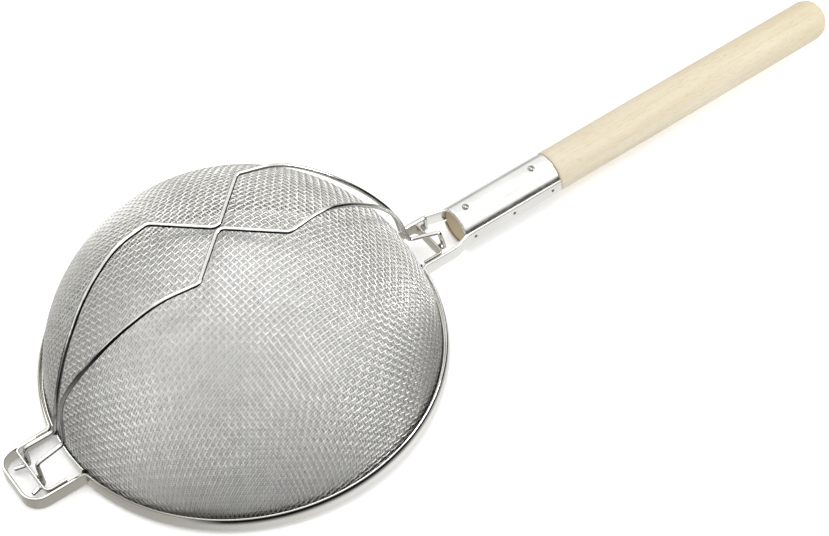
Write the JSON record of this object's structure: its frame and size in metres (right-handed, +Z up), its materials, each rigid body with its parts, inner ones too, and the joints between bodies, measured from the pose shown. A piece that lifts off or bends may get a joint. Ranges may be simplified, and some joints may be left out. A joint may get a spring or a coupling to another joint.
{
  "type": "double mesh strainer",
  "caption": "Round long-handled strainer: two nested wire-mesh bowls in a banded rim, with a bent-wire guard over the dome, a pot-rest hook loop and a turned wooden handle in a nailed ferrule.",
  "frame": {"origin": "Centre of the bounding box at table height, with the strainer lying dome up on its hook end and its ferrule.", "axes": "+X along the length from the hook loop to the handle's tip, +Y to the left, +Z up through the top of the dome."},
  "size_m": [0.5058, 0.2032, 0.1029],
  "materials": {
    "polished_steel": "polished stainless strip and pressings",
    "mesh_steel": "satin woven wire",
    "tinned_wire": "bright drawn wire",
    "beech": "sanded, unvarnished"
  },
  "bodies": {
    "root": {"frame_band": "polished_steel", "hem_ring": "polished_steel", "outer_mesh_bowl": "mesh_steel", "inner_mesh_bowl": "mesh_steel", "front_anchor_bracket": "polished_steel", "rear_anchor_bracket": "polished_steel", "spider_wire_left": "tinned_wire", "spider_wire_right": "tinned_wire", "handle": "beech", "upper_ferrule_shell": "polished_steel", "lower_ferrule_shell": "polished_steel", "upper_ferrule_nail_front": "polished_steel", "upper_ferrule_nail_rear": "polished_steel", "lower_ferrule_nail_front": "polished_steel", "lower_ferrule_nail_rear": "polished_steel", "side_nail_left_1": "polished_steel", "side_nail_left_2": "polished_steel", "side_nail_left_3": "polished_steel", "side_nail_right_1": "polished_steel", "side_nail_right_2": "polished_steel", "side_nail_right_3": "polished_steel"}
  },
  "joints": []
}
